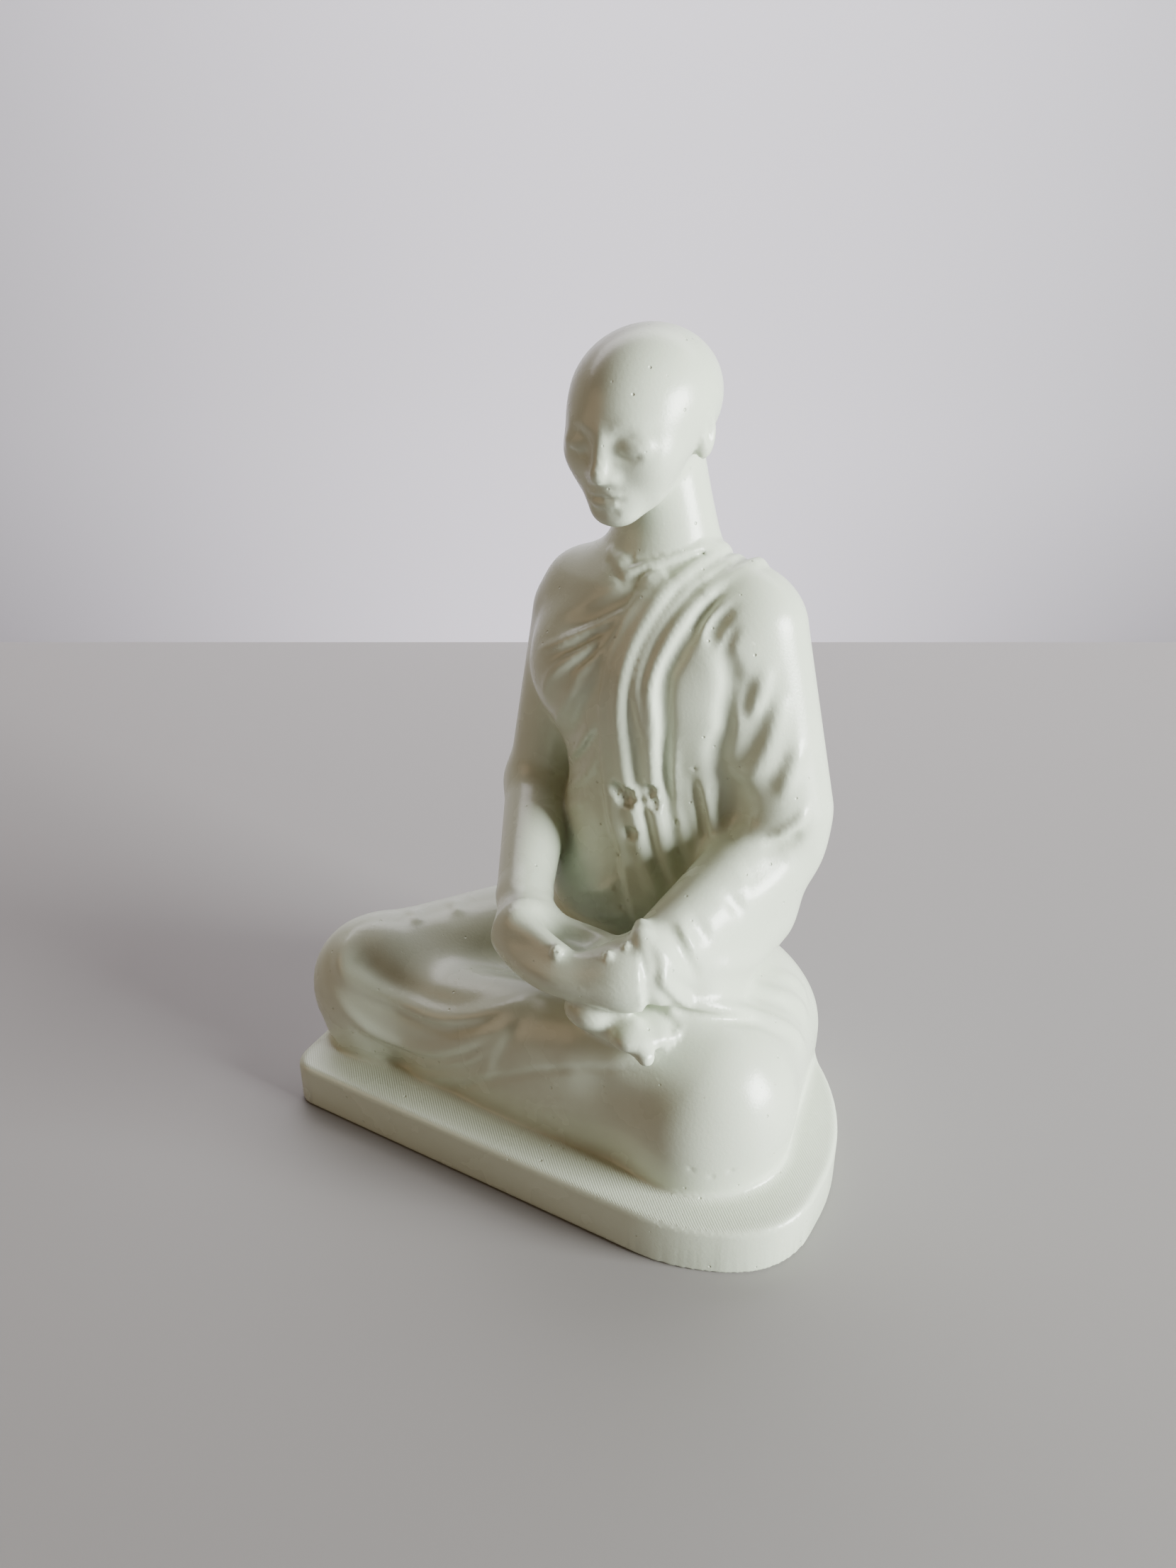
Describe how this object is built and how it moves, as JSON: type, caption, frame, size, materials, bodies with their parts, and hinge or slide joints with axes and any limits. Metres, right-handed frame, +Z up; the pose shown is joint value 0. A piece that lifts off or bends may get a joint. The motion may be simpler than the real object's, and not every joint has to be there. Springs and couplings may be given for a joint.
{
  "type": "seated meditating figure statuette",
  "caption": "Small cast statuette of a shaven-headed robed figure seated cross-legged in meditation, hands in the lap, on a thin slab with rounded ends.",
  "frame": {"origin": "centre of the slab's underside, under the middle of the bounding box", "axes": "+Z up, -Y towards the front of the figure and the slab's straight edge, +X to the figure's left"},
  "size_m": [0.0918, 0.0605, 0.127],
  "materials": {
    "pale_cast": "semi-matte pale grey-green casting"
  },
  "bodies": {
    "root": {"statue": "pale_cast"}
  },
  "joints": []
}
